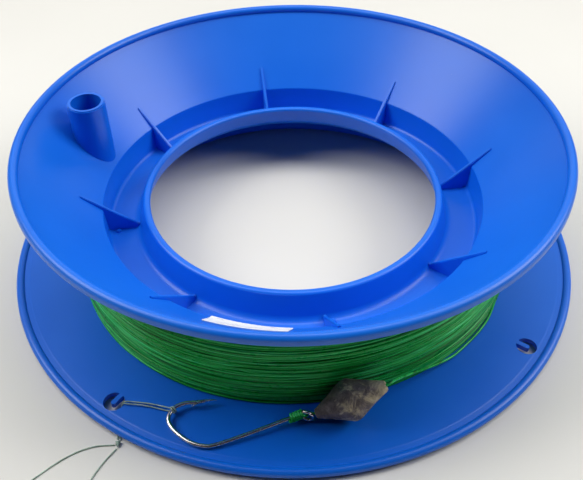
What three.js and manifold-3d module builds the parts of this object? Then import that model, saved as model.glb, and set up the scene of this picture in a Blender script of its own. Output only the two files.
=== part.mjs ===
// Hand caster reel: a wide plastic spool for fishing line, lying on its back flange.
// A conical casting flange, trough and hand ring are one moulding. The drum and the flat back flange
// are another. The drum carries the wound line, and a hook and sinker are stowed on the back flange.
//
// Millimetres, +Z up. The origin is the centre of the underside that the reel rests on.
// "Hub" and "rim" mean towards and away from the Z axis.

import * as THREE from 'three';
import { mergeVertices } from 'three/addons/utils/BufferGeometryUtils.js';
import Module from 'manifold-3d';

const wasm = await Module();
wasm.setup();

// ---------------------------------------------------------------- driving dimensions

const ROUND_SEGMENTS = 64; // facets round the big turned shapes
const GAP = 0.3; // clearance between touching pieces

const RIM_RADIUS = 101.5; // outside of the back flange
const RIM_BEAD = { radius: 1.5, z: 2.3 };
const PLATE = { bottom: 1.2, top: 3.0 }; // back flange plate
const FOOT = { inner: 75.4, outer: 83 }; // flat ring that the reel rests on, at z = 0
const DRUM = { outer: 75.0, inner: 73.4 };
const CORNER = { r: 66.9, z: 26.1 }; // where the cone's face meets the trough wall
const CONE_SLOPE = 0.989; // rise per millimetre of radius
const CONE_WALL = 2.0;
const CONE_BEAD = { radius: 1.58, r: 91.2, z: 50.2 };

const TROUGH = { floor: 16.6, wallFoot: 66.2, underside: 15.2, outer: 68.5, outerFillet: 1.5, innerFillet: 2.6 };
const RING = { foot: 55.5, lipOuter: 53.0, lipInner: 50.3, top: 26.2, lipEdge: 25.6 };
const RING_BEND = { r: 52.6, z: 18.9, floorR: 57.0 }; // where the ring's bore turns under the trough
const LOCATOR = { inner: 71.5, outer: 73.1, bottom: 22 }; // centres the drum under the cone

const RIB = { count: 8, firstAngle: 10, thickness: 1.2, outerR: 73.5, outerZ: 33.3, innerR: 56.0, innerZ: 18.4 };
const BOSS = { r: 75, angle: 166.4, outer: 6.65, inner: 5.35, top: 51.2, segments: 28 };

const CLIP = { count: 4, firstAngle: -126.2, r: 93.6, holeRadius: 3.3, tongueHalfWidth: 0.8, tipBeyondCentre: 1.0 };

const WINDING_RADIUS = 76.4;
const LABEL = { length: 25, width: 12, thickness: 0.25, angle: -100.7, r: 71.6 };

const WIRE = { radius: 0.65, sides: 8 }; // hook wire
const EYE = { x: 3.6, y: -83.35, z: 5.85, ring: 1.8, wire: 0.6, turn: -20 };
const KNOT_WALL = 0.75;

const SINKER = { start: [6.3, -83.0, 6.4], direction: [0.902, 0.142, 0.408], length: 22.5, bore: 1.0 };

const LEADER_RADIUS = 0.4;
const KEEPER_RADIUS = 0.2;
const CORD_SIDES = 8;

const DEGREE = Math.PI / 180;

// ---------------------------------------------------------------- routes, as [x, y, z]

// hook wire from the barb round the bend to the eye
const HOOK_ROUTE = [
  [-29.6, -77.9, 5.4], [-32.9, -78.1, 5.3], [-35.5, -79.1, 5.1], [-37.0, -80.7, 4.9],
  [-37.6, -82.8, 4.65], [-37.2, -84.6, 4.45], [-35.7, -86.7, 4.25], [-33.2, -89.0, 4.1],
  [-30.1, -91.0, 4.0], [-27.5, -91.9, 4.0], [-25.0, -92.2, 4.0], [-21.9, -91.5, 4.1],
  [-17.0, -89.8, 4.4], [-10.7, -87.5, 4.85], [-6.0, -85.7, 5.2], [-1.2, -83.9, 5.55], [1.6, -82.8, 5.75],
];
const HOOK_POINT = [-23.4, -77.3, 5.65];
const BARB_POINT = [-30.6, -79.4, 5.5];

// leader from behind the eye, through the sinker and down on to the winding
const LEADER_ROUTE = [
  [3.7, -81.85, 5.8], [5.0, -82.55, 6.0], [6.8, -82.95, 6.6], [11.7, -82.15, 8.85], [16.4, -81.4, 11.0],
  [21.1, -80.65, 13.1], [26.0, -79.85, 15.3], [27.6, -79.3, 15.7], [29.2, -77.8, 15.0], [32.3, -74.3, 12.2],
  [38.7, -69.1, 8.6], [45.2, -64.2, 5.6], [50.7, -60.2, 4.5], [55.7, -55.4, 4.2], [60.5, -50.2, 4.1],
  [64.6, -44.7, 4.0], [67.0, -40.2, 4.0], [68.7, -36.5, 4.0],
];

// keeper line: from the knot under the rim, up through the clip, round the hook's bend and back
const KEEPER_ROUTE = [
  [-51.95, -87.3, 0.3], [-52.2, -84.0, 0.3], [-52.6, -80.0, 0.4], [-52.8, -78.2, 0.5], [-52.85, -77.2, 0.85],
  [-52.75, -76.75, 1.9], [-52.6, -76.7, 2.9], [-51.9, -76.75, 3.7], [-50.6, -76.85, 3.75], [-47.4, -77.1, 3.7],
  [-43.6, -77.8, 3.6], [-40.2, -78.8, 3.6], [-38.0, -79.45, 3.45], [-36.2, -79.75, 3.8], [-35.45, -80.65, 5.0],
  [-36.35, -80.0, 6.1], [-37.25, -79.35, 4.95], [-36.6, -80.28, 3.8], [-35.88, -81.12, 4.95], [-36.8, -80.48, 6.05],
  [-37.9, -79.8, 5.6], [-39.2, -78.75, 4.6], [-41.0, -78.05, 3.95], [-44.0, -77.2, 3.75], [-47.6, -76.6, 3.7],
  [-50.6, -76.3, 3.75], [-51.8, -76.1, 3.7], [-52.55, -75.9, 2.9], [-52.75, -76.0, 1.9], [-53.1, -76.4, 0.85],
  [-53.4, -77.4, 0.5], [-53.3, -80.0, 0.4], [-53.0, -84.0, 0.3], [-52.75, -87.1, 0.3],
];
const KEEPER_KNOT = { at: [-52.3, -88.75, 0.75], radius: 0.7, length: 2.2, turn: -85 };
const TAIL_A_ROUTE = [
  [-53.4, -89.1, 0.3], [-56.0, -89.2, 0.25], [-59.0, -89.5, 0.25], [-63.9, -91.3, 0.25], [-68.8, -94.6, 0.25],
  [-72.4, -97.8, 0.25], [-75.6, -101.0, 0.25], [-78.6, -104.6, 0.25], [-81.0, -108.6, 0.25],
];
const TAIL_B_ROUTE = [
  [-52.6, -90.4, 0.3], [-53.6, -91.9, 0.25], [-55.0, -93.9, 0.25], [-57.1, -97.9, 0.25], [-58.6, -101.4, 0.25],
  [-60.4, -106.6, 0.25], [-62.6, -112.4, 0.25], [-65.4, -117.8, 0.25],
];

// ---------------------------------------------------------------- materials

function material(color, roughness, metalness) {
  return new THREE.MeshStandardMaterial({ color, roughness, metalness });
}

const bluePlastic = () => material(0x1e64dc, 0.35, 0);
const greenLine = () => material(0x148236, 0.3, 0);
const keeperGreen = () => material(0x7f9c86, 0.3, 0);
const nickel = () => material(0x9a958c, 0.25, 1);
const lead = () => material(0x6a625c, 0.65, 0.6);
const whitePaper = () => material(0xe8e8e6, 0.6, 0);

// ---------------------------------------------------------------- solids and geometry

// a closed geometry as a manifold solid, with the zero-size triangles at any pole left out
function solidOf(geometry) {
  const bare = geometry.index ? geometry.toNonIndexed() : geometry.clone();
  bare.deleteAttribute('normal');
  bare.deleteAttribute('uv');
  const merged = mergeVertices(bare, 1e-4);
  const index = merged.index.array;
  const kept = [];
  for (let i = 0; i < index.length; i += 3) {
    const [a, b, c] = [index[i], index[i + 1], index[i + 2]];
    if (a !== b && b !== c && c !== a) kept.push(a, b, c);
  }
  return new wasm.Manifold(new wasm.Mesh({
    numProp: 3,
    vertProperties: new Float32Array(merged.attributes.position.array),
    triVerts: new Uint32Array(kept),
  }));
}

function geometryOf(solid) {
  const mesh = solid.getMesh();
  const geometry = new THREE.BufferGeometry();
  geometry.setAttribute('position', new THREE.BufferAttribute(new Float32Array(mesh.vertProperties), 3));
  geometry.setIndex(new THREE.BufferAttribute(new Uint32Array(mesh.triVerts), 1));
  geometry.computeVertexNormals();
  return geometry;
}

function vector([x, y, z]) {
  return new THREE.Vector3(x, y, z);
}

// points of an arc in the (r, z) plane, angles in degrees
function arc(r, z, radius, from, to, steps) {
  const points = [];
  for (let i = 0; i <= steps; i++) {
    const angle = (from + ((to - from) * i) / steps) * DEGREE;
    points.push([r + radius * Math.cos(angle), z + radius * Math.sin(angle)]);
  }
  return points;
}

// a ring turned about +Z from a closed profile of [r, z] points, anticlockwise
function turned(profile, segments = ROUND_SEGMENTS) {
  const closed = [...profile, profile[0]];
  const points = closed.map(([r, z]) => new THREE.Vector2(r, z));
  return new THREE.LatheGeometry(points, segments).rotateX(Math.PI / 2);
}

function extruded(shape, depth, curveSegments = 12) {
  return new THREE.ExtrudeGeometry(shape, { depth, bevelEnabled: false, curveSegments });
}

function polygon(points) {
  return new THREE.Shape(points.map(([x, y]) => new THREE.Vector2(x, y)));
}

function roundShape(radius, sides) {
  const corners = [];
  for (let i = 0; i < sides; i++) {
    const angle = (2 * Math.PI * i) / sides;
    corners.push([radius * Math.cos(angle), radius * Math.sin(angle)]);
  }
  return polygon(corners);
}

// a round wire or line of the given radius along a smooth curve through the route's points
function tube(route, radius, sides, steps) {
  const path = new THREE.CatmullRomCurve3(route.map(vector), false, 'centripetal');
  return new THREE.ExtrudeGeometry(roundShape(radius, sides), { steps, bevelEnabled: false, extrudePath: path });
}

// turns a geometry made along +Z so that it runs along a direction, and moves it to a place
function aimed(geometry, direction, place) {
  const turn = new THREE.Quaternion().setFromUnitVectors(new THREE.Vector3(0, 0, 1), direction.clone().normalize());
  geometry.applyQuaternion(turn);
  return geometry.translate(place.x, place.y, place.z);
}

function union(solids) {
  return solids.reduce((whole, piece) => whole.add(piece));
}

// height of the cone's face, or of the surface a given depth inside the wall
function coneHeight(r, depth = 0) {
  const tilt = Math.atan(CONE_SLOPE);
  return CORNER.z + CONE_SLOPE * (r - CORNER.r) - depth / Math.cos(tilt);
}

// everything below the cone's face, lowered by a depth
function belowCone(depth) {
  const inner = 55;
  const outer = 95;
  const floor = 5;
  const profile = [[inner, floor], [outer, floor], [outer, coneHeight(outer, depth)], [inner, coneHeight(inner, depth)]];
  return solidOf(turned(profile));
}

// ---------------------------------------------------------------- the two mouldings

function frontProfile() {
  const tilt = Math.atan(CONE_SLOPE) / DEGREE;
  const bead = CONE_BEAD;
  const beadR = bead.r;
  const outer = TROUGH.outerFillet;
  const inner = TROUGH.innerFillet;
  return [
    [TROUGH.outer, coneHeight(TROUGH.outer, CONE_WALL)],
    [LOCATOR.inner, coneHeight(LOCATOR.inner, CONE_WALL)],
    [LOCATOR.inner, LOCATOR.bottom],
    [LOCATOR.outer, LOCATOR.bottom],
    [LOCATOR.outer, coneHeight(LOCATOR.outer, CONE_WALL)],
    [beadR + bead.radius, coneHeight(beadR + bead.radius, CONE_WALL)],
    ...arc(beadR, bead.z, bead.radius, 0, 180 + tilt, 8),
    [CORNER.r + 0.3, coneHeight(CORNER.r + 0.3)],
    [CORNER.r - 0.1, CORNER.z - 0.5],
    [TROUGH.wallFoot, TROUGH.floor + outer],
    ...arc(TROUGH.wallFoot - outer, TROUGH.floor + outer, outer, -30, -90, 2),
    ...arc(RING.foot + inner, TROUGH.floor + inner, inner, -90, -150, 2),
    [RING.lipOuter, RING.lipEdge],
    [RING.lipOuter - 0.5, RING.top],
    [RING.lipInner + 0.5, RING.top],
    [RING.lipInner, RING.lipEdge],
    [RING_BEND.r, RING_BEND.z],
    [RING_BEND.floorR, TROUGH.underside],
    [TROUGH.outer, TROUGH.underside],
  ];
}

// a radial web that fills the trough up to a straight edge from the cone to the ring's foot
function rib(angle) {
  const inTheWall = 0.9;
  const outline = polygon([
    [RIB.innerR - inTheWall, RIB.innerZ],
    [RIB.innerR, TROUGH.floor - inTheWall],
    [TROUGH.wallFoot + inTheWall, TROUGH.floor - inTheWall],
    [CORNER.r + inTheWall, CORNER.z - inTheWall],
    [RIB.outerR, coneHeight(RIB.outerR, inTheWall)],
    [RIB.outerR, RIB.outerZ],
    [RIB.innerR, RIB.innerZ],
  ]);
  const web = extruded(outline, RIB.thickness).rotateX(Math.PI / 2);
  return solidOf(web.translate(0, RIB.thickness / 2, 0).rotateZ(angle * DEGREE));
}

function upright(radius, bottom, top) {
  const shape = roundShape(radius, BOSS.segments);
  const angle = BOSS.angle * DEGREE;
  const bar = extruded(shape, top - bottom);
  return solidOf(bar.translate(BOSS.r * Math.cos(angle), BOSS.r * Math.sin(angle), bottom));
}

function frontMoulding() {
  const pieces = [solidOf(turned(frontProfile()))];
  for (let i = 0; i < RIB.count; i++) {
    pieces.push(rib(RIB.firstAngle + (360 / RIB.count) * i));
  }
  const rootZ = CORNER.z;
  const socketTop = BOSS.top + 5;
  pieces.push(upright(BOSS.outer, rootZ, BOSS.top).subtract(belowCone(CONE_WALL / 2)));
  const socket = upright(BOSS.inner, rootZ, socketTop).subtract(belowCone(0));
  return geometryOf(union(pieces).subtract(socket));
}

function backProfile() {
  const bead = RIM_BEAD;
  const beadR = RIM_RADIUS - bead.radius;
  const under = Math.asin((PLATE.bottom - bead.z) / bead.radius) / DEGREE;
  const over = Math.asin((PLATE.top - bead.z) / bead.radius) / DEGREE;
  return [
    [FOOT.inner, 0],
    [FOOT.outer, 0],
    [FOOT.outer + PLATE.bottom, PLATE.bottom],
    ...arc(beadR, bead.z, bead.radius, -180 - under, 180 - over, 9),
    [DRUM.outer, PLATE.top],
    [DRUM.outer, coneHeight(DRUM.outer, CONE_WALL + GAP)],
    [DRUM.inner, coneHeight(DRUM.inner, CONE_WALL + GAP)],
    [DRUM.inner, PLATE.bottom],
    [FOOT.inner, PLATE.bottom],
  ];
}

// the slot round a clip's tongue, whose root is on the hub side
function clipSlot(angle) {
  const { holeRadius, tongueHalfWidth, tipBeyondCentre } = CLIP;
  const side = Math.asin(tongueHalfWidth / holeRadius);
  const shape = new THREE.Shape();
  shape.absarc(0, 0, holeRadius, -Math.PI + side, Math.PI - side, false);
  shape.absarc(tipBeyondCentre - tongueHalfWidth, 0, tongueHalfWidth, Math.PI / 2, -Math.PI / 2, true);
  const cutterDepth = 10;
  const cutter = extruded(shape, cutterDepth, 10).translate(CLIP.r, 0, -cutterDepth / 2);
  return solidOf(cutter.rotateZ(angle * DEGREE));
}

function drumAndBackFlange() {
  let plate = solidOf(turned(backProfile()));
  for (let i = 0; i < CLIP.count; i++) {
    plate = plate.subtract(clipSlot(CLIP.firstAngle + (360 / CLIP.count) * i));
  }
  return geometryOf(plate);
}

// ---------------------------------------------------------------- line and label

function lineWinding() {
  const inner = DRUM.outer + GAP;
  const bottom = PLATE.top + GAP;
  const clear = CONE_WALL + GAP;
  return turned([
    [inner, bottom],
    [WINDING_RADIUS, bottom],
    [WINDING_RADIUS, coneHeight(WINDING_RADIUS, clear)],
    [inner, coneHeight(inner, clear)],
  ]);
}

function priceLabel() {
  const low = -GAP;
  const high = -GAP - LABEL.thickness;
  const innerR = LABEL.r - LABEL.width;
  const outerR = LABEL.r + LABEL.width;
  const skin = solidOf(turned([
    [innerR, coneHeight(innerR, low)],
    [outerR, coneHeight(outerR, low)],
    [outerR, coneHeight(outerR, high)],
    [innerR, coneHeight(innerR, high)],
  ]));
  const reach = 3;
  const blank = new THREE.BoxGeometry(LABEL.width, LABEL.length, 2 * reach);
  blank.rotateY(-Math.atan(CONE_SLOPE));
  blank.translate(LABEL.r, 0, coneHeight(LABEL.r)).rotateZ(LABEL.angle * DEGREE);
  return geometryOf(skin.intersect(solidOf(blank)));
}

// ---------------------------------------------------------------- hook, sinker and cords

function hook() {
  const wireSteps = 52;
  const wire = solidOf(tube(HOOK_ROUTE, WIRE.radius, WIRE.sides, wireSteps));

  const start = vector(HOOK_ROUTE[0]);
  const forward = vector(HOOK_POINT).sub(start);
  const overlap = 0.8;
  const pointLength = forward.length() + overlap;
  const cone = new THREE.ConeGeometry(WIRE.radius, pointLength, WIRE.sides).rotateX(Math.PI / 2);
  cone.translate(0, 0, pointLength / 2 - overlap);
  const point = solidOf(aimed(cone, forward, start));

  const barbBase = start.clone().addScaledVector(forward, 0.22);
  const barbDirection = vector(BARB_POINT).sub(barbBase);
  const barbLength = barbDirection.length();
  const spike = new THREE.ConeGeometry(0.45, barbLength, 6).rotateX(Math.PI / 2).translate(0, 0, barbLength / 2);
  const barb = solidOf(aimed(spike, barbDirection, barbBase));

  const ring = new THREE.TorusGeometry(EYE.ring, EYE.wire, 8, 20).rotateX(Math.PI / 2);
  const eye = solidOf(ring.rotateZ(EYE.turn * DEGREE).translate(EYE.x, EYE.y, EYE.z));
  return geometryOf(union([wire, point, barb, eye]));
}

// a sleeve of wraps round the shank behind the eye
function snellKnot() {
  const from = vector(HOOK_ROUTE[15]);
  const along = vector(HOOK_ROUTE[16]).sub(from).normalize();
  const inner = WIRE.radius + GAP + 0.06;
  const outer = inner + KNOT_WALL;
  const length = 2.4;
  const soft = 0.25;
  const sleeve = turned([
    [inner, 0], [outer - soft, 0], [outer, soft], [outer, length - soft], [outer - soft, length], [inner, length],
  ], 16);
  return aimed(sleeve, along, from.addScaledVector(along, -1.2));
}

// a long double cone with a bore along it
function sinker() {
  const length = SINKER.length;
  const outline = [
    [1.6, 0], [2.95, 0.145 * length], [4.6, 0.3 * length], [6.15, 0.445 * length], [6.4, 0.49 * length],
    [6.15, 0.54 * length], [5.1, 0.64 * length], [3.0, 0.845 * length], [1.55, length],
  ];
  const body = turned([...outline, [SINKER.bore, length], [SINKER.bore, 0]], 32);
  return aimed(body, vector(SINKER.direction), vector(SINKER.start));
}

function keeperKnot() {
  const { at, radius, length, turn } = KEEPER_KNOT;
  const ball = new THREE.SphereGeometry(radius, 12, 8).rotateY(Math.PI / 2).scale(length / (2 * radius), 1, 1);
  return geometryOf(solidOf(ball.rotateZ(turn * DEGREE).translate(...at)));
}

// ---------------------------------------------------------------- assembly

const group = new THREE.Group();

function add(name, geometry, surface) {
  const mesh = new THREE.Mesh(geometry, surface);
  mesh.name = name;
  group.add(mesh);
}

add('front_moulding', frontMoulding(), bluePlastic());
add('drum_and_back_flange', drumAndBackFlange(), bluePlastic());
add('line_winding', lineWinding(), greenLine());
add('price_label', priceLabel(), whitePaper());

add('hook', hook(), nickel());
add('snell_knot', snellKnot(), greenLine());
add('sinker', sinker(), lead());
add('leader_line', tube(LEADER_ROUTE, LEADER_RADIUS, CORD_SIDES, 50), greenLine());

add('keeper_line', tube(KEEPER_ROUTE, KEEPER_RADIUS, CORD_SIDES, 150), keeperGreen());
add('keeper_knot', keeperKnot(), keeperGreen());
add('keeper_tail_a', tube(TAIL_A_ROUTE, KEEPER_RADIUS, CORD_SIDES, 30), keeperGreen());
add('keeper_tail_b', tube(TAIL_B_ROUTE, KEEPER_RADIUS, CORD_SIDES, 26), keeperGreen());

export default group;
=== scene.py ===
import math

import bmesh
import bpy
import numpy as np
from mathutils import Matrix, Vector, noise


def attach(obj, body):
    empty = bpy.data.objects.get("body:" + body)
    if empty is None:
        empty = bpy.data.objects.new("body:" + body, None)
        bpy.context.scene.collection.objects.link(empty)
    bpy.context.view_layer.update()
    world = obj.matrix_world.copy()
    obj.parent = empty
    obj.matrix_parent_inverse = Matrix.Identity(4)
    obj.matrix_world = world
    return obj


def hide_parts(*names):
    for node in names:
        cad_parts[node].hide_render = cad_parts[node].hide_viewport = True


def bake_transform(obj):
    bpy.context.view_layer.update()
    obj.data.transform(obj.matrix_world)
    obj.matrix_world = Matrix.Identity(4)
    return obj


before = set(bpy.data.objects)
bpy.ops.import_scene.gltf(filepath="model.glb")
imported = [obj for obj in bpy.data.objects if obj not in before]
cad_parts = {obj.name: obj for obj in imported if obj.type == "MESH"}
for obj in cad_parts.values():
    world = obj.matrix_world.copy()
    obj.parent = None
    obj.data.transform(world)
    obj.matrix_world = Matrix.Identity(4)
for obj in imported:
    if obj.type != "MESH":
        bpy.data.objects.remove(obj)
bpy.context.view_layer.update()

# A hand caster reel: blue spool, green line, and a hook and sinker stowed on the back flange.
# Everything is in metres; dimensions written in millimetres are multiplied by MM.

MM = 0.001
RNG = np.random.default_rng(7)

# ------------------------------------------------------------------ driving dimensions, millimetres

BIG_SEGMENTS = 360

RIM_BEAD = (100.0, 2.3, 1.5)  # r, z, radius
PLATE_BOTTOM, PLATE_TOP = 1.2, 3.0
FOOT_INNER, FOOT_OUTER = 75.4, 83.0
DRUM_OUTER, DRUM_INNER = 75.0, 73.4

CORNER_R, CORNER_Z = 66.9, 26.1
CONE_SLOPE, CONE_WALL = 0.989, 2.0
CONE_TILT = math.atan(CONE_SLOPE)
CONE_BEAD = (91.2, 50.2, 1.58)

TROUGH_FLOOR, TROUGH_FOOT, TROUGH_UNDER, TROUGH_OUTER = 16.6, 66.2, 15.2, 68.5
RING_FOOT, LIP_OUTER, LIP_INNER, RING_TOP = 55.5, 53.0, 50.3, 26.2
BEND_R, BEND_Z, BEND_FLOOR_R = 52.6, 18.9, 57.0
LOCATOR_INNER, LOCATOR_OUTER, LOCATOR_BOTTOM = 71.5, 73.1, 22.0

RIB_COUNT, RIB_FIRST, RIB_THICK = 8, 10.0, 1.15
RIB_OUTER = (73.5, 33.3)
RIB_INNER = (56.0, 18.4)

BOSS_R, BOSS_ANGLE, BOSS_OUTER, BOSS_INNER, BOSS_TOP = 75.0, 166.4, 6.65, 5.35, 51.2

CLIP_COUNT, CLIP_FIRST, CLIP_R, CLIP_HOLE = 4, -126.2, 93.6, 3.3
TONGUE_HALF, TONGUE_TIP = 0.8, 1.0

LINE_DIAMETER = 0.8
KEEPER_DIAMETER = 0.4
WIRE_RADIUS = 0.65

# ------------------------------------------------------------------ camera

CAMERA_PLACE = (0.0, -0.2160, 0.1970)
CAMERA_TILT = math.radians(42.32)
CAMERA_PAN = math.radians(-0.17)
CAMERA_ROLL = math.radians(-0.67)
CAMERA_LENS = 47.36


def make_camera():
    data = bpy.data.cameras.new("camera")
    data.lens = CAMERA_LENS
    data.clip_start = 0.01
    camera = bpy.data.objects.new("camera", data)
    ahead = Vector((
        math.sin(CAMERA_PAN) * math.cos(CAMERA_TILT),
        math.cos(CAMERA_PAN) * math.cos(CAMERA_TILT),
        -math.sin(CAMERA_TILT),
    ))
    side = ahead.cross(Vector((0, 0, 1))).normalized()
    up = side.cross(ahead)
    right = side * math.cos(CAMERA_ROLL) + up * math.sin(CAMERA_ROLL)
    upward = up * math.cos(CAMERA_ROLL) - side * math.sin(CAMERA_ROLL)
    turn = Matrix((right, upward, -ahead)).transposed()
    camera.matrix_world = Matrix.Translation(CAMERA_PLACE) @ turn.to_4x4()
    bpy.context.scene.collection.objects.link(camera)
    bpy.context.scene.camera = camera


# ------------------------------------------------------------------ mesh helpers


def new_object(name, mesh):
    piece = bpy.data.objects.new(name, mesh)
    bpy.context.scene.collection.objects.link(piece)
    return piece


def mesh_from(name, points, faces, sharp_angle=40):
    mesh = bpy.data.meshes.new(name)
    mesh.from_pydata([tuple(map(float, p)) for p in points], [], faces)
    mesh.validate()
    shade(mesh, sharp_angle)
    return mesh


def shade(mesh, sharp_angle=40):
    mesh.polygons.foreach_set("use_smooth", [True] * len(mesh.polygons))
    mesh.set_sharp_from_angle(angle=math.radians(sharp_angle))


def smooth_route(route, per_span):
    """Points of a centripetal Catmull-Rom curve through the route."""
    p = np.array(route, float)
    p = np.vstack([2 * p[0] - p[1], p, 2 * p[-1] - p[-2]])
    out = []
    for i in range(1, len(p) - 2):
        a, b, c, d = p[i - 1 : i + 3]
        t0 = 0.0
        t1 = t0 + math.sqrt(np.linalg.norm(b - a))
        t2 = t1 + math.sqrt(np.linalg.norm(c - b))
        t3 = t2 + math.sqrt(np.linalg.norm(d - c))
        for s in np.linspace(0, 1, per_span, endpoint=False):
            t = t1 + (t2 - t1) * s
            ab = (t1 - t) / (t1 - t0) * a + (t - t0) / (t1 - t0) * b
            bc = (t2 - t) / (t2 - t1) * b + (t - t1) / (t2 - t1) * c
            cd = (t3 - t) / (t3 - t2) * c + (t - t2) / (t3 - t2) * d
            abc = (t2 - t) / (t2 - t0) * ab + (t - t0) / (t2 - t0) * bc
            bcd = (t3 - t) / (t3 - t1) * bc + (t - t1) / (t3 - t1) * cd
            out.append((t2 - t) / (t2 - t1) * abc + (t - t1) / (t2 - t1) * bcd)
    out.append(p[-2])
    return np.array(out)


def tube_parts(line, radius, sides, closed=False):
    """Points and faces of a round tube. radius is one number or one per point of the line."""
    line = np.asarray(line, float)
    count = len(line)
    radii = np.full(count, radius) if np.isscalar(radius) else np.asarray(radius)
    if closed:
        ahead = np.roll(line, -1, 0) - np.roll(line, 1, 0)
    else:
        ahead = np.gradient(line, axis=0)
    ahead /= np.linalg.norm(ahead, axis=1)[:, None]
    start = np.cross(ahead[0], (0, 0, 1.0))
    if np.linalg.norm(start) < 0.2:
        start = np.cross(ahead[0], (0, 1.0, 0))
    normal = start / np.linalg.norm(start)
    angles = np.arange(sides) * 2 * math.pi / sides
    points = []
    for i in range(count):
        normal = normal - ahead[i] * (normal @ ahead[i])
        normal /= np.linalg.norm(normal)
        other = np.cross(ahead[i], normal)
        ring = np.cos(angles)[:, None] * normal + np.sin(angles)[:, None] * other
        points.append(line[i] + ring * radii[i])
    points = np.concatenate(points)
    faces = []
    for i in range(count if closed else count - 1):
        j = (i + 1) % count
        for k in range(sides):
            m = (k + 1) % sides
            faces.append((i * sides + k, i * sides + m, j * sides + m, j * sides + k))
    if not closed:
        faces.append(tuple(reversed(range(sides))))
        faces.append(tuple((count - 1) * sides + k for k in range(sides)))
    return points, faces


def joined(parts):
    """Points and faces of several parts as one."""
    points, faces, base = [], [], 0
    for p, f in parts:
        points.append(p)
        faces += [tuple(i + base for i in face) for face in f]
        base += len(p)
    return np.concatenate(points), faces


def arc(r, z, radius, start, end, steps):
    """Points of an arc in the (r, z) plane, angles in degrees."""
    out = []
    for i in range(steps + 1):
        a = math.radians(start + (end - start) * i / steps)
        out.append((r + radius * math.cos(a), z + radius * math.sin(a)))
    return out


def rounded(corners, steps=5):
    """A closed (r, z) outline with its corners rounded. A corner is (r, z) or (r, z, fillet radius)."""
    out = []
    count = len(corners)
    for i, corner in enumerate(corners):
        here = Vector(corner[:2])
        radius = corner[2] if len(corner) > 2 else 0
        if not radius:
            out.append(corner)
            continue
        back = Vector(corners[i - 1][:2]) - here
        on = Vector(corners[(i + 1) % count][:2]) - here
        half = back.angle(on) / 2
        reach = min(radius / math.tan(half), 0.49 * back.length, 0.49 * on.length)
        a = here + back.normalized() * reach
        b = here + on.normalized() * reach
        for k in range(steps + 1):
            t = k / steps
            weight = 2 * t * (1 - t) * math.sin(half)
            blend = a * (1 - t) ** 2 + b * t**2 + here * weight
            out.append(tuple(blend / ((1 - t) ** 2 + t**2 + weight)))
    return out


def turned(outline, segments=BIG_SEGMENTS):
    """Points and faces of a ring turned about Z from a closed (r, z) outline in millimetres."""
    outline = np.array(outline) * MM
    angles = np.arange(segments) * 2 * math.pi / segments
    count = len(outline)
    points = []
    for a in angles:
        points.append(np.c_[outline[:, 0] * math.cos(a), outline[:, 0] * math.sin(a), outline[:, 1]])
    faces = []
    for i in range(segments):
        j = (i + 1) % segments
        for k in range(count):
            m = (k + 1) % count
            faces.append((i * count + k, j * count + k, j * count + m, i * count + m))
    return np.concatenate(points), faces


def prism(outline, low, high):
    """Points and faces of an upright prism over a closed (x, y) outline, anticlockwise."""
    outline = np.array(outline, float)
    count = len(outline)
    bottom = np.c_[outline, np.full(count, low)]
    top = np.c_[outline, np.full(count, high)]
    faces = [tuple(reversed(range(count))), tuple(count + i for i in range(count))]
    for i in range(count):
        j = (i + 1) % count
        faces.append((i, j, count + j, count + i))
    return np.concatenate([bottom, top]), faces


def boolean(piece, cutters, operation):
    """Joins cutters to a piece or cuts them from it, and removes them."""
    for cutter in cutters:
        modifier = piece.modifiers.new("cut", "BOOLEAN")
        modifier.operation = operation
        modifier.solver = "MANIFOLD"
        modifier.object = cutter
    depsgraph = bpy.context.evaluated_depsgraph_get()
    mesh = bpy.data.meshes.new_from_object(piece.evaluated_get(depsgraph))
    piece.modifiers.clear()
    mesh.materials.clear()
    old = piece.data
    piece.data = mesh
    bpy.data.meshes.remove(old)
    for cutter in cutters:
        data = cutter.data
        bpy.data.objects.remove(cutter)
        bpy.data.meshes.remove(data)


def softened(piece, width, segments=2, angle=35):
    """Rounds the sharp edges of a small piece."""
    work = bmesh.new()
    work.from_mesh(piece.data)
    sharp = [e for e in work.edges if len(e.link_faces) == 2 and e.calc_face_angle() > math.radians(angle)]
    bmesh.ops.bevel(work, geom=sharp, offset=width, segments=segments, affect="EDGES", clamp_overlap=True)
    work.to_mesh(piece.data)
    work.free()


def spin(piece, degrees):
    piece.data.transform(Matrix.Rotation(math.radians(degrees), 4, "Z"))


# ------------------------------------------------------------------ material helpers


def linear(r, g, b):
    """A screen colour, 0 to 255, as a linear one."""
    out = []
    for v in (r, g, b):
        v /= 255
        out.append(v / 12.92 if v <= 0.04045 else ((v + 0.055) / 1.055) ** 2.4)
    return (*out, 1.0)


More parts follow.
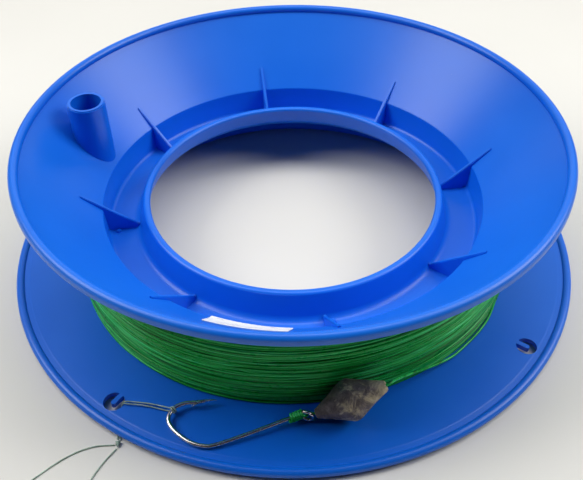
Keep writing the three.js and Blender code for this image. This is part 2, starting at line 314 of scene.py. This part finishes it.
class Surface:
    """A node material around one Principled shader."""

    def __init__(self, name, **sockets):
        self.material = bpy.data.materials.new(name)
        self.material.use_nodes = True
        self.nodes = self.material.node_tree.nodes
        self.links = self.material.node_tree.links
        self.shader = self.nodes["Principled BSDF"]
        for socket, value in sockets.items():
            self.shader.inputs[socket.replace("_", " ")].default_value = value
        self.where = self.nodes.new("ShaderNodeTexCoord").outputs["Object"]

    def link(self, output, target):
        self.links.new(output, target)

    def scaled(self, scale):
        """Object coordinates times a scale of three numbers."""
        node = self.nodes.new("ShaderNodeMapping")
        node.inputs["Scale"].default_value = scale
        self.link(self.where, node.inputs["Vector"])
        return node.outputs["Vector"]

    def noise(self, scale, detail=3, roughness=0.5, distortion=0, vector=None):
        node = self.nodes.new("ShaderNodeTexNoise")
        node.inputs["Scale"].default_value = scale
        node.inputs["Detail"].default_value = detail
        node.inputs["Roughness"].default_value = roughness
        node.inputs["Distortion"].default_value = distortion
        self.link(vector or self.where, node.inputs["Vector"])
        return node.outputs["Fac"]

    def ramp(self, value, stops):
        node = self.nodes.new("ShaderNodeValToRGB")
        while len(node.color_ramp.elements) < len(stops):
            node.color_ramp.elements.new(0.5)
        for element, (place, color) in zip(node.color_ramp.elements, stops):
            element.position = place
            element.color = color if hasattr(color, "__len__") else (color, color, color, 1)
        self.link(value, node.inputs["Fac"])
        return node.outputs["Color"]

    def mix(self, factor, a, b):
        node = self.nodes.new("ShaderNodeMix")
        node.data_type = "RGBA"
        for socket, value in ((node.inputs[0], factor), (node.inputs[6], a), (node.inputs[7], b)):
            if hasattr(value, "is_linked"):
                self.link(value, socket)
            else:
                socket.default_value = value
        return node.outputs[2]

    def math(self, operation, a, b=0.0):
        node = self.nodes.new("ShaderNodeMath")
        node.operation = operation
        for socket, value in ((node.inputs[0], a), (node.inputs[1], b)):
            if hasattr(value, "is_linked"):
                self.link(value, socket)
            else:
                socket.default_value = value
        return node.outputs[0]

    def color(self, output):
        self.link(output, self.shader.inputs["Base Color"])

    def roughness(self, output):
        self.link(output, self.shader.inputs["Roughness"])

    def bump(self, *layers):
        """Layers of (height, strength, distance in metres)."""
        normal = None
        for height, strength, distance in layers:
            node = self.nodes.new("ShaderNodeBump")
            node.inputs["Strength"].default_value = strength
            node.inputs["Distance"].default_value = distance
            self.link(height, node.inputs["Height"])
            if normal:
                self.link(normal, node.inputs["Normal"])
            normal = node.outputs["Normal"]
        self.link(normal, self.shader.inputs["Normal"])


# ------------------------------------------------------------------ materials


def plastic_material():
    """Satin moulded plastic: slight cloudiness, fine moulding grain, hairline scuffs and a little dust."""
    s = Surface("spool_plastic", Roughness=0.34, Specular_IOR_Level=0.42)
    base = linear(8, 106, 222)
    deep = linear(6, 98, 212)
    cloud = s.noise(14, 4, 0.55)
    tone = s.ramp(cloud, [(0.35, deep), (0.65, base)])
    dust = s.ramp(s.noise(1400, 2, 0.6), [(0.74, 0.0), (0.80, 0.35)])
    s.color(s.mix(dust, tone, linear(110, 150, 222)))
    scuff = s.noise(9, 6, 0.7, 0.6, s.scaled((60, 900, 300)))
    s.roughness(s.ramp(s.mix(0.5, cloud, scuff), [(0.3, 0.28), (0.7, 0.42)]))
    s.bump((s.noise(2200, 2, 0.5), 0.12, 0.00002), (s.noise(60, 3, 0.5), 0.10, 0.0002))
    return s.material


def line_material():
    """Green nylon monofilament, with tone varying from turn to turn; the pale end of the tone is painted
    glints along the strands.
    """
    s = Surface("green_line", Roughness=0.3, Specular_IOR_Level=0.3)
    tone = s.noise(1.0, 4, 0.7, 0, s.scaled((14, 14, 1100)))
    # The palest stop is painted glints: light streaks along the strands that stand in for highlights.
    greens_and_painted_glints = [(0.36, linear(0, 92, 26)), (0.5, linear(4, 166, 60)), (0.66, linear(74, 222, 130))]
    s.color(s.ramp(tone, greens_and_painted_glints))
    s.roughness(s.ramp(s.noise(300, 2, 0.5), [(0.3, 0.24), (0.7, 0.4)]))
    s.bump((s.noise(900, 2, 0.5), 0.15, 0.00003))
    return s.material


def keeper_material():
    """Thin pale monofilament."""
    s = Surface("keeper_line", Roughness=0.2, Specular_IOR_Level=0.6)
    tone = s.noise(220, 3, 0.6)
    s.color(s.ramp(tone, [(0.3, linear(118, 144, 130)), (0.7, linear(184, 206, 192))]))
    s.bump((s.noise(1500, 2, 0.5), 0.2, 0.00002))
    return s.material


def hook_material():
    """Bright nickel plate over drawn steel wire."""
    s = Surface("hook_steel", Metallic=1.0, Roughness=0.22)
    tone = s.noise(90, 3, 0.5)
    s.color(s.ramp(tone, [(0.3, linear(204, 194, 186)), (0.7, linear(234, 228, 222))]))
    s.roughness(s.ramp(s.noise(300, 3, 0.5), [(0.3, 0.2), (0.7, 0.3)]))
    s.bump((s.noise(1800, 2, 0.5), 0.05, 0.00001))
    return s.material


def lead_material():
    """Dull cast lead, grainy, with creamy oxide patches that are thickest on the end away from the hook."""
    s = Surface("lead", Metallic=0.25, Roughness=0.6)
    tones = [(0.3, linear(58, 50, 50)), (0.6, linear(108, 98, 94)), (0.8, linear(150, 138, 126))]
    grey = s.ramp(s.noise(420, 5, 0.75), tones)
    split = s.nodes.new("ShaderNodeSeparateXYZ")
    s.link(s.where, split.inputs[0])
    bias = s.math("MULTIPLY", split.outputs[0], 11.0)
    patch = s.ramp(s.math("ADD", s.noise(210, 5, 0.7, 0.8), bias), [(0.66, 0.0), (0.84, 0.8)])
    s.color(s.mix(patch, grey, linear(206, 192, 156)))
    s.roughness(s.ramp(s.noise(400, 3, 0.6), [(0.3, 0.45), (0.7, 0.75)]))
    s.bump((s.noise(900, 4, 0.65), 0.6, 0.0003), (s.noise(2600, 2, 0.5), 0.5, 0.0001))
    return s.material


def label_material():
    """White coated paper with faint, worn grey marks."""
    s = Surface("label_paper", Roughness=0.55)
    fibre = s.noise(1800, 3, 0.6)
    paper = s.ramp(fibre, [(0.3, linear(214, 216, 220)), (0.7, linear(238, 239, 240))])
    worn = s.ramp(s.noise(520, 4, 0.7, 0, s.scaled((0.5, 1.6, 1.6))), [(0.56, 0.0), (0.64, 0.55)])
    s.color(s.mix(worn, paper, linear(120, 122, 130)))
    s.bump((fibre, 0.2, 0.00002))
    return s.material


def floor_material():
    s = Surface("floor", Roughness=0.85)
    s.color(s.ramp(s.noise(6, 3, 0.5), [(0.3, linear(212, 211, 207)), (0.7, linear(218, 217, 213))]))
    return s.material


# ------------------------------------------------------------------ the two mouldings


def cone_height(r, depth=0.0):
    """Height of the cone's face, or of the surface a given depth inside its wall."""
    return CORNER_Z + CONE_SLOPE * (r - CORNER_R) - depth / math.cos(CONE_TILT)


def below_cone(depth):
    """Everything under the cone's face, lowered by a depth."""
    low, inner, outer = 5, 55, 95
    outline = [
        (inner, low),
        (outer, low),
        (outer, cone_height(outer, depth)),
        (inner, cone_height(inner, depth)),
    ]
    return new_object("below", mesh_from("below", *turned(outline)))


def front_outline():
    bead_r, bead_z, bead = CONE_BEAD
    lip = 1.15
    before = rounded([
        (TROUGH_OUTER, cone_height(TROUGH_OUTER, CONE_WALL), 0.4),
        (LOCATOR_INNER, cone_height(LOCATOR_INNER, CONE_WALL), 0.4),
        (LOCATOR_INNER, LOCATOR_BOTTOM, 0.3),
        (LOCATOR_OUTER, LOCATOR_BOTTOM, 0.3),
        (LOCATOR_OUTER, cone_height(LOCATOR_OUTER, CONE_WALL), 0.4),
        (bead_r + bead, cone_height(bead_r + bead, CONE_WALL), 0.4),
        (bead_r + bead, bead_z),
        (0.5 * (bead_r + CORNER_R), cone_height(0.5 * (bead_r + CORNER_R))),
        (CORNER_R, CORNER_Z, 0.9),
        (TROUGH_FOOT, TROUGH_FLOOR, 1.5),
        (RING_FOOT, TROUGH_FLOOR, 2.6),
        (LIP_OUTER, RING_TOP, lip),
        (LIP_INNER, RING_TOP, lip),
        (BEND_R, BEND_Z, 3.5),
        (BEND_FLOOR_R, TROUGH_UNDER, 3.0),
        (TROUGH_OUTER, TROUGH_UNDER, 1.2),
    ], 6)
    at = before.index((bead_r + bead, bead_z))
    tilt = math.degrees(CONE_TILT)
    return before[:at] + arc(bead_r, bead_z, bead, 0, 168 + tilt, 22) + before[at + 1:]


def rib():
    """A thin web across the trough, with a straight softened edge from the cone to the ring's foot."""
    sunk = 0.8
    outline = [
        (RIB_INNER[0] - sunk, RIB_INNER[1]),
        (RIB_INNER[0], TROUGH_FLOOR - sunk),
        (TROUGH_FOOT + sunk, TROUGH_FLOOR - sunk),
        (CORNER_R + sunk, CORNER_Z - sunk),
        (RIB_OUTER[0] + 0.2, cone_height(RIB_OUTER[0], sunk)),
        (RIB_OUTER[0], RIB_OUTER[1]),
        RIB_INNER,
    ]
    points, faces = prism(np.array(outline) * MM, -RIB_THICK / 2 * MM, RIB_THICK / 2 * MM)
    web = new_object("rib", mesh_from("rib", points, faces))
    web.data.transform(Matrix.Rotation(math.pi / 2, 4, "X"))
    softened(web, 0.22 * MM)
    return web


def round_outline(radius, sides, x=0.0, y=0.0):
    angles = np.arange(sides) * 2 * math.pi / sides
    return np.c_[x + radius * np.cos(angles), y + radius * np.sin(angles)]


def post(radius_low, radius_high, low, high, soften=0.0):
    """An upright bar at the post's place."""
    sides = 96
    angle = math.radians(BOSS_ANGLE)
    place = (BOSS_R * math.cos(angle) * MM, BOSS_R * math.sin(angle) * MM)
    points, faces = prism(round_outline(1.0, sides), low * MM, high * MM)
    radii = np.where(points[:, 2] > (low + high) / 2 * MM, radius_high, radius_low) * MM
    points[:, 0] = points[:, 0] * radii + place[0]
    points[:, 1] = points[:, 1] * radii + place[1]
    bar = new_object("post", mesh_from("post", points, faces))
    if soften:
        softened(bar, soften * MM, 4)
    return bar


def nub(r, angle):
    """A small round ejector mark on the trough's floor."""
    turn = math.radians(angle)
    outline = round_outline(0.9 * MM, 24, r * math.cos(turn) * MM, r * math.sin(turn) * MM)
    low, high = (TROUGH_FLOOR - 0.6) * MM, (TROUGH_FLOOR + 0.7) * MM
    mark = new_object("nub", mesh_from("nub", *prism(outline, low, high)))
    softened(mark, 0.25 * MM)
    return mark


def front_moulding(surface):
    piece = new_object("front_moulding_shell", mesh_from("front_moulding_shell", *turned(front_outline())))
    added = []
    for i in range(RIB_COUNT):
        web = rib()
        spin(web, RIB_FIRST + 360 / RIB_COUNT * i)
        added.append(web)
    outside = post(BOSS_OUTER + 0.15, BOSS_OUTER, CORNER_Z, BOSS_TOP, 0.35)
    boolean(outside, [below_cone(CONE_WALL / 2)], "DIFFERENCE")
    added.append(outside)
    added.append(nub(62.9, -168.6))
    added.append(nub(57.2, -77.6))
    boolean(piece, added, "UNION")
    bore = post(BOSS_INNER - 0.1, BOSS_INNER, CORNER_Z, BOSS_TOP + 5)
    boolean(bore, [below_cone(0)], "DIFFERENCE")
    boolean(piece, [bore], "DIFFERENCE")
    shade(piece.data, 32)
    piece.data.materials.append(surface)
    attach(piece, "root")
    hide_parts("front_moulding")


def drum_outline():
    bead_r, bead_z, bead = RIM_BEAD
    under = math.degrees(math.asin((PLATE_BOTTOM - bead_z) / bead))
    drum_gap = CONE_WALL + 0.02
    corners = rounded([
        (FOOT_INNER, 0, 0.3),
        (FOOT_OUTER, 0, 0.3),
        (FOOT_OUTER + PLATE_BOTTOM, PLATE_BOTTOM, 0.6),
        (bead_r, bead_z),
        (bead_r - 3.2, PLATE_TOP, 3.0),
        (DRUM_OUTER, PLATE_TOP, 0.4),
        (DRUM_OUTER, cone_height(DRUM_OUTER, drum_gap)),
        (DRUM_INNER, cone_height(DRUM_INNER, drum_gap)),
        (DRUM_INNER, PLATE_BOTTOM, 0.4),
        (FOOT_INNER, PLATE_BOTTOM, 0.2),
    ], 6)
    at = corners.index((bead_r, bead_z))
    groove = [
        (bead_r - 1.62, PLATE_TOP - 0.12),
        (bead_r - 2.1, PLATE_TOP - 0.14),
        (bead_r - 2.6, PLATE_TOP - 0.05),
    ]
    return corners[:at] + arc(bead_r, bead_z, bead, -180 - under, 158, 22) + groove + corners[at + 1:]


def clip_slot():
    """The slot round a clip's tongue, whose root is on the hub side."""
    side = math.asin(TONGUE_HALF / CLIP_HOLE)
    outer = [
        (CLIP_HOLE * math.cos(a), CLIP_HOLE * math.sin(a))
        for a in np.linspace(-math.pi + side, math.pi - side, 49)
    ]
    tip = TONGUE_TIP - TONGUE_HALF
    inner = [
        (tip + TONGUE_HALF * math.cos(a), TONGUE_HALF * math.sin(a))
        for a in np.linspace(math.pi / 2, -math.pi / 2, 13)
    ]
    outline = (np.array(outer + inner) + (CLIP_R, 0)) * MM
    return new_object("slot", mesh_from("slot", *prism(outline, -5 * MM, 8 * MM)))


def drum_and_back_flange(surface):
    piece = new_object("drum_and_flange", mesh_from("drum_and_flange", *turned(drum_outline())))
    slots = []
    for i in range(CLIP_COUNT):
        slot = clip_slot()
        spin(slot, CLIP_FIRST + 360 / CLIP_COUNT * i)
        slots.append(slot)
    boolean(piece, slots, "DIFFERENCE")
    shade(piece.data, 32)
    piece.data.materials.append(surface)
    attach(piece, "root")
    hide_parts("drum_and_back_flange")


# ------------------------------------------------------------------ the wound line


def pile_radius(angle):
    """Outside of the wound line, which is laid a little unevenly by hand."""
    return 77.2 + 0.75 * np.cos(3 * (angle + math.radians(130)))


def wander(angle, size, waves=3):
    """A closed wandering curve round the drum."""
    out = np.zeros_like(angle)
    for k in range(1, waves + 1):
        out += size / k * np.sin(k * angle + RNG.uniform(0, 2 * math.pi)) * RNG.uniform(0.4, 1)
    return out


def winding(surface):
    half = LINE_DIAMETER / 2
    core_r = 76.0
    core = rounded([
        (DRUM_OUTER + 0.1, PLATE_TOP + 0.1),
        (core_r, PLATE_TOP + 0.1, 0.3),
        (core_r, cone_height(core_r, CONE_WALL + 0.3), 0.3),
        (DRUM_OUTER + 0.1, cone_height(DRUM_OUTER + 0.1, CONE_WALL + 0.3)),
    ])
    parts = [turned(core, 180)]
    turns, steps, sides = 43, 220, 6
    around = np.arange(steps) * 2 * math.pi / steps
    top = 32.6
    for i in range(turns):
        z = PLATE_TOP + half + 0.02 + (top - PLATE_TOP - half) * i / (turns - 1)
        z = z + wander(around, 0.28)
        z = np.maximum(z, PLATE_TOP + half)
        r = pile_radius(around) - half + wander(around, 0.12) + RNG.uniform(-0.12, 0.12)
        line = np.c_[r * np.cos(around), r * np.sin(around), z] * MM
        parts.append(tube_parts(line, half * MM, sides, closed=True))
    crossings = 110
    for i in range(crossings):
        start = RNG.uniform(0, 2 * math.pi)
        span = math.radians(RNG.uniform(70, 250))
        low = RNG.uniform(PLATE_TOP + 0.6, 29)
        rise = RNG.uniform(0.8, 6.0) * RNG.choice([-1, 1])
        angle = start + np.linspace(0, span, 110)
        share = np.linspace(0, 1, len(angle))
        z = low + rise * (share - 0.5) + wander(angle, 0.25)
        z = np.clip(z, PLATE_TOP + half, 31)
        lift = np.clip(np.minimum(share, 1 - share) * 14, 0, 1)
        lift = lift * lift * (3 - 2 * lift)
        r = pile_radius(angle) - 1.5 * half + (half + RNG.uniform(0.0, 0.25)) * lift - half * (1 - lift)
        line = np.c_[r * np.cos(angle), r * np.sin(angle), z] * MM
        parts.append(tube_parts(line, half * MM, sides))
    piece = new_object("wound_line", mesh_from("wound_line", *joined(parts), 80))
    piece.data.materials.append(surface)
    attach(piece, "root")
    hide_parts("line_winding")


# ------------------------------------------------------------------ label


def label(surface):
    """A small sticker on the cone's face. One end of its inner edge, at the corner, curls up."""
    length, width, thick = 25.0, 12.0, 0.12
    centre_r, angle = 71.4, math.radians(-100.7)
    apex_distance = centre_r / math.cos(CONE_TILT)
    across, up = 48, 24
    corner = 1.0
    points = []
    for layer in (0, 1):
        for j in range(up + 1):
            v = (j / up - 0.5) * width
            for i in range(across + 1):
                u = (i / across - 0.5) * length
                # pull the four corners in to round them
                du = max(0.0, abs(u) - (length / 2 - corner))
                dv = max(0.0, abs(v) - (width / 2 - corner))
                over = math.hypot(du, dv)
                if over > corner:
                    u = math.copysign(length / 2 - corner + du * corner / over, u)
                    v = math.copysign(width / 2 - corner + dv * corner / over, v)
                # the flat sticker wraps onto the cone without stretching
                r = math.hypot(apex_distance + v, u) * math.cos(CONE_TILT)
                a = angle + math.atan2(u, apex_distance + v) / math.cos(CONE_TILT)
                lifted = max(0.0, (-v - 2.5) / 3.5)
                height = 0.06 + layer * thick + (0.35 - 0.5 * u / length) * lifted**2
                rr = r - height * math.sin(CONE_TILT)
                z = cone_height(r) + height * math.cos(CONE_TILT)
                points.append((rr * math.cos(a) * MM, rr * math.sin(a) * MM, z * MM))
    row = across + 1
    base = (up + 1) * row
    faces = []
    for j in range(up):
        for i in range(across):
            q = j * row + i
            faces.append((q, q + row, q + row + 1, q + 1))
            faces.append((base + q, base + q + 1, base + q + row + 1, base + q + row))
    rim = list(range(row)) + [j * row + across for j in range(1, up + 1)]
    rim += [up * row + i for i in range(across - 1, -1, -1)] + [j * row for j in range(up - 1, 0, -1)]
    for a, b in zip(rim, rim[1:] + rim[:1]):
        faces.append((a, b, base + b, base + a))
    mesh = mesh_from("price_sticker", points, faces, 50)
    work = bmesh.new()
    work.from_mesh(mesh)
    bmesh.ops.recalc_face_normals(work, faces=work.faces)
    work.to_mesh(mesh)
    work.free()
    piece = new_object("price_sticker", mesh)
    piece.data.materials.append(surface)
    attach(piece, "root")
    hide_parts("price_label")


# ------------------------------------------------------------------ hook, knots, sinker

EYE_CENTRE = np.array((3.6, -83.35, 5.85))
EYE_RING, EYE_TURN = 1.8, math.radians(-20)

HOOK_ROUTE = [
    (-29.6, -77.9, 5.4), (-32.9, -78.1, 5.3), (-35.5, -79.1, 5.1), (-37.0, -80.7, 4.9),
    (-37.6, -82.8, 4.65), (-37.2, -84.6, 4.45), (-35.7, -86.7, 4.25), (-33.2, -89.0, 4.1),
    (-30.1, -91.0, 4.0), (-27.5, -91.9, 4.0), (-25.0, -92.2, 4.0), (-21.9, -91.5, 4.1),
    (-17.0, -89.8, 4.4), (-10.7, -87.5, 4.85), (-6.0, -85.7, 5.2), (-1.2, -83.9, 5.55),
]
HOOK_POINT = (-23.4, -77.3, 5.65)


def eye_point(degrees, ring=EYE_RING):
    a = math.radians(degrees)
    along = np.array((math.cos(EYE_TURN), math.sin(EYE_TURN), 0)) * math.cos(a)
    return EYE_CENTRE + ring * (along + np.array((0, 0, math.sin(a))))


def hook(surface):
    sharp = [HOOK_POINT, (-25.4, -77.25, 5.62), (-27.4, -77.5, 5.52)]
    loop = [tuple(eye_point(a)) for a in range(205, 531, 25)]
    route = smooth_route(sharp + HOOK_ROUTE + [(0.6, -83.1, 5.4)] + loop, 10)
    along = np.concatenate([[0], np.cumsum(np.linalg.norm(np.diff(route, axis=0), axis=1))])
    radius = WIRE_RADIUS * np.clip(0.06 + 0.94 * (along / 6.6) ** 0.75, 0, 1)
    left = along[-1] - along
    radius = np.minimum(radius, 0.5 + 0.15 * np.clip((left - 8) / 6, 0, 1))
    parts = [tube_parts(route * MM, radius * MM, 20)]
    barb_route = [(-28.2, -77.75, 5.5), (-29.3, -78.3, 5.5), (-30.3, -79.0, 5.5), (-30.9, -79.6, 5.5)]
    barb = smooth_route(barb_route, 6)
    thin = np.linspace(0.42, 0.05, len(barb))
    parts.append(tube_parts(barb * MM, thin * MM, 12))
    piece = new_object("fish_hook", mesh_from("fish_hook", *joined(parts), 60))
    piece.data.materials.append(surface)
    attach(piece, "hook")
    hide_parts("hook")
    return piece


def frame_along(direction):
    ahead = np.array(direction, float)
    ahead /= np.linalg.norm(ahead)
    side = np.cross(ahead, (0, 0, 1.0))
    side /= np.linalg.norm(side)
    return ahead, side, np.cross(side, ahead)


def snell_knot(surface):
    """Wraps of the line round the shank behind the eye, and the turn that goes through the eye."""
    ahead, side, up = frame_along((0.92, 0.36, 0.1))
    start = np.array((-1.2, -83.95, 5.55))
    turns, pitch, coil = 4.5, 0.8, 1.12
    wrap = []
    for t in np.linspace(0, turns * 2 * math.pi, round(turns * 16) + 1):
        out = side * math.cos(t) + up * math.sin(t)
        wrap.append(start + ahead * pitch * t / (2 * math.pi) + coil * out)
    tail = start - ahead * 0.9 + side * 1.1 + up * 0.3
    through = [(2.9, -83.9, 6.6), (3.4, -83.5, 6.2), (4.1, -82.7, 5.9)]
    line = smooth_route([tuple(tail)] + [tuple(p) for p in wrap] + through, 4)
    piece = new_object("snell_wraps", mesh_from("snell_wraps", *tube_parts(line * MM, 0.42 * MM, 12), 60))
    piece.data.materials.append(surface)
    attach(piece, "hook")
    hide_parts("snell_knot")
    return piece


SINKER_START = np.array((6.3, -83.0, 6.4))
SINKER_AHEAD = (0.902, 0.142, 0.408)
SINKER_LENGTH = 22.5


def sinker(surface):
    """A cast double cone: rounded middle, faint seam, small dents, bore through it."""
    # share of the length, radius in millimetres
    outline = [
        (0.0, 0.62), (0.0, 1.45), (0.02, 1.6), (0.145, 2.95), (0.30, 4.6), (0.44, 6.1), (0.49, 6.4),
        (0.545, 6.15), (0.64, 5.1), (0.845, 3.0), (0.985, 1.6), (1.0, 1.4), (1.0, 0.62),
    ]
    ahead, side, up = frame_along(SINKER_AHEAD)
    fine = []
    for (a, ra), (b, rb) in zip(outline, outline[1:]):
        count = max(1, int(abs(b - a) * 70))
        fine += [(a + (b - a) * k / count, ra + (rb - ra) * k / count) for k in range(count)]
    fine.append(outline[-1])
    radii = np.array([r for _, r in fine])
    soft = radii.copy()
    for _ in range(3):
        soft[3:-3] = 0.25 * soft[2:-4] + 0.5 * soft[3:-3] + 0.25 * soft[4:-2]
    segments = 96
    points = []
    for (share, _), radius in zip(fine, soft):
        for k in range(segments):
            t = 2 * math.pi * k / segments
            place = np.array((share * SINKER_LENGTH, radius * math.cos(t), radius * math.sin(t)))
            broad = noise.noise(Vector(place * 0.32)) * 0.16
            lump = broad + noise.noise(Vector(place * 0.9) + Vector((5, 2, 1))) * 0.07
            seam = 0.10 * math.exp(-((math.sin(t - 0.5) * radius / 0.35) ** 2))
            r = radius + (lump + seam if radius > 1.0 else 0)
            points.append(SINKER_START + ahead * place[0] + r * (side * math.cos(t) + up * math.sin(t)))
    rows = len(fine)
    faces = []
    for i in range(rows):
        j = (i + 1) % rows
        for k in range(segments):
            m = (k + 1) % segments
            faces.append((i * segments + k, i * segments + m, j * segments + m, j * segments + k))
    mesh = mesh_from("lead_sinker", np.array(points) * MM, faces, 50)
    work = bmesh.new()
    work.from_mesh(mesh)
    bmesh.ops.recalc_face_normals(work, faces=work.faces)
    work.to_mesh(mesh)
    work.free()
    piece = new_object("lead_sinker", mesh)
    piece.data.materials.append(surface)
    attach(piece, "sinker")
    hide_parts("sinker")
    return piece


# ------------------------------------------------------------------ cords, routes in metres

LEADER_ROUTE = [
    (0.0037, -0.08185, 0.0058), (0.0050, -0.08255, 0.0060), (0.0068, -0.08295, 0.0066),
    (0.0117, -0.08215, 0.00885), (0.0164, -0.0814, 0.0110), (0.0211, -0.08065, 0.0131),
    (0.0260, -0.07985, 0.0153), (0.0276, -0.0793, 0.0157), (0.0292, -0.0778, 0.0150),
    (0.0323, -0.0743, 0.0122), (0.0387, -0.0691, 0.0086), (0.0452, -0.0642, 0.0056),
    (0.0507, -0.0602, 0.0045), (0.0557, -0.0554, 0.0042), (0.0605, -0.0502, 0.0041),
    (0.0646, -0.0447, 0.0040), (0.0670, -0.0402, 0.0040), (0.0687, -0.0365, 0.0040),
]

KEEPER_ROUTE = [
    (-0.05195, -0.0873, 0.0003), (-0.0522, -0.084, 0.0003), (-0.0526, -0.08, 0.0004),
    (-0.0528, -0.0782, 0.0005), (-0.05285, -0.0772, 0.00085), (-0.05275, -0.07675, 0.0019),
    (-0.0526, -0.0767, 0.0029), (-0.0519, -0.07675, 0.0037), (-0.0506, -0.07705, 0.00375),
    (-0.0474, -0.0773, 0.0037), (-0.0436, -0.0780, 0.0036), (-0.0402, -0.0790, 0.0036),
    (-0.038, -0.07945, 0.00345), (-0.0362, -0.07975, 0.0038), (-0.03545, -0.08065, 0.005),
    (-0.03635, -0.08, 0.0061), (-0.03725, -0.07935, 0.00495), (-0.0366, -0.08028, 0.0038),
    (-0.03588, -0.08112, 0.00495), (-0.0368, -0.08048, 0.00605), (-0.0379, -0.0798, 0.0056),
    (-0.0392, -0.07875, 0.0046), (-0.041, -0.07785, 0.00395), (-0.044, -0.0770, 0.00375),
    (-0.0476, -0.0764, 0.0037), (-0.0506, -0.0761, 0.00375), (-0.0518, -0.0761, 0.0037),
    (-0.05255, -0.0759, 0.0029), (-0.05275, -0.076, 0.0019), (-0.0531, -0.0764, 0.00085),
    (-0.0534, -0.0774, 0.0005), (-0.0533, -0.08, 0.0004), (-0.053, -0.084, 0.0003),
    (-0.05275, -0.0871, 0.0003),
]

TAIL_A_ROUTE = [
    (-0.0534, -0.0891, 0.0003), (-0.0560, -0.0892, 0.00025), (-0.0590, -0.0895, 0.00025),
    (-0.0639, -0.0913, 0.00025), (-0.0688, -0.0946, 0.00025), (-0.0724, -0.0978, 0.00025),
    (-0.0756, -0.1010, 0.00025), (-0.0786, -0.1046, 0.00025), (-0.0810, -0.1086, 0.00025),
]

TAIL_B_ROUTE = [
    (-0.0526, -0.0904, 0.0003), (-0.0536, -0.0919, 0.00025), (-0.0550, -0.0939, 0.00025),
    (-0.0571, -0.0979, 0.00025), (-0.0586, -0.1014, 0.00025), (-0.0604, -0.1066, 0.00025),
    (-0.0626, -0.1124, 0.00025), (-0.0654, -0.1178, 0.00025),
]


def cord_piece(name, route, diameter, surface):
    line = smooth_route(route, 8)
    piece = new_object(name, mesh_from(name, *tube_parts(line, diameter / 2, 12), 60))
    piece.data.materials.append(surface)
    return piece, line


def leader(surface):
    diameter = LINE_DIAMETER * MM
    piece, line = cord_piece("leader", LEADER_ROUTE, diameter, surface)
    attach(piece, "root")
    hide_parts("leader_line")


def keeper(surface):
    diameter = KEEPER_DIAMETER * MM
    piece, line = cord_piece("keeper_loop", KEEPER_ROUTE, diameter, surface)
    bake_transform(piece)
    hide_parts("keeper_line")


def keeper_knot(surface):
    """A small overhand knot lying against the rim."""
    centre = np.array((-52.3, -88.75, 0.78))
    radius = KEEPER_DIAMETER / 2
    line = []
    for t in np.linspace(0, 2 * math.pi, 61):
        x = 0.62 * math.sin(t) + 0.30 * math.sin(2 * t)
        y = 0.95 * math.cos(t) - 0.32 * math.cos(2 * t)
        z = 0.22 * math.sin(3 * t)
        line.append(centre + np.array((x, y, z)) * 0.8)
    again = []
    whole = 3.2 * 2 * math.pi
    for t in np.linspace(0, whole, 81):
        again.append(centre + np.array((0.42 * math.cos(t), -0.75 + 1.4 * t / whole, 0.42 * math.sin(t))))
    parts = [
        tube_parts(np.array(line[:-1]) * MM, radius * MM, 10, closed=True),
        tube_parts(np.array(again) * MM, radius * MM, 10),
    ]
    piece = new_object("keeper_overhand_knot", mesh_from("keeper_overhand_knot", *joined(parts), 60))
    piece.data.materials.append(surface)
    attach(piece, "root")
    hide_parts("keeper_knot")
    return piece


def tail(name, node, route, length, surface):
    diameter = KEEPER_DIAMETER * MM
    piece, line = cord_piece(name, route, diameter, surface)
    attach(piece, "root")
    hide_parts(node)


# ------------------------------------------------------------------ stage


def area_light(name, place, target, size, energy, color=(1, 1, 1)):
    data = bpy.data.lights.new(name, "AREA")
    data.shape = "RECTANGLE"
    data.size, data.size_y = size
    data.energy = energy
    data.color = color
    light = bpy.data.objects.new(name, data)
    light.location = place
    light.rotation_euler = (Vector(target) - Vector(place)).to_track_quat("-Z", "Y").to_euler()
    bpy.context.scene.collection.objects.link(light)


def stage():
    half = 3.0  # half of the floor's side, metres
    corners = [(-half, -half, 0), (half, -half, 0), (half, half, 0), (-half, half, 0)]
    floor = new_object("floor", mesh_from("floor", corners, [(0, 1, 2, 3)]))
    floor.data.materials.append(floor_material())
    world = bpy.data.worlds.new("studio")
    bpy.context.scene.world = world
    world.use_nodes = True
    sky = world.node_tree.nodes["Background"]
    sky.inputs["Color"].default_value = (0.90, 0.95, 1.0, 1)
    sky.inputs["Strength"].default_value = 0.03
    middle = (0, 0, 0.02)
    warm = (1.0, 0.99, 0.96)
    area_light("top", (0.00, 0.16, 0.86), middle, (1.1, 0.35), 5.0, warm)
    area_light("right", (0.70, 0.08, 0.58), middle, (0.5, 0.5), 5.2, warm)
    area_light("left", (-0.66, 0.04, 0.64), middle, (0.5, 0.5), 5.0, warm)
    area_light("back", (0.00, 1.30, 0.75), middle, (2.0, 0.9), 5.0, warm)


# ------------------------------------------------------------------ assembly

make_camera()

plastic = plastic_material()
green = line_material()
pale = keeper_material()

hook_piece = hook(hook_material())
snell = snell_knot(green)
lead_piece = sinker(lead_material())
leader(green)
knot_piece = keeper_knot(pale)
keeper(pale)
tail("keeper_tail_left", "keeper_tail_a", TAIL_A_ROUTE, 0.036, pale)
tail("keeper_tail_right", "keeper_tail_b", TAIL_B_ROUTE, 0.031, pale)

front_moulding(plastic)
drum_and_back_flange(plastic)
winding(green)
label(label_material())

stage()
bpy.context.scene.view_settings.view_transform = "Standard"
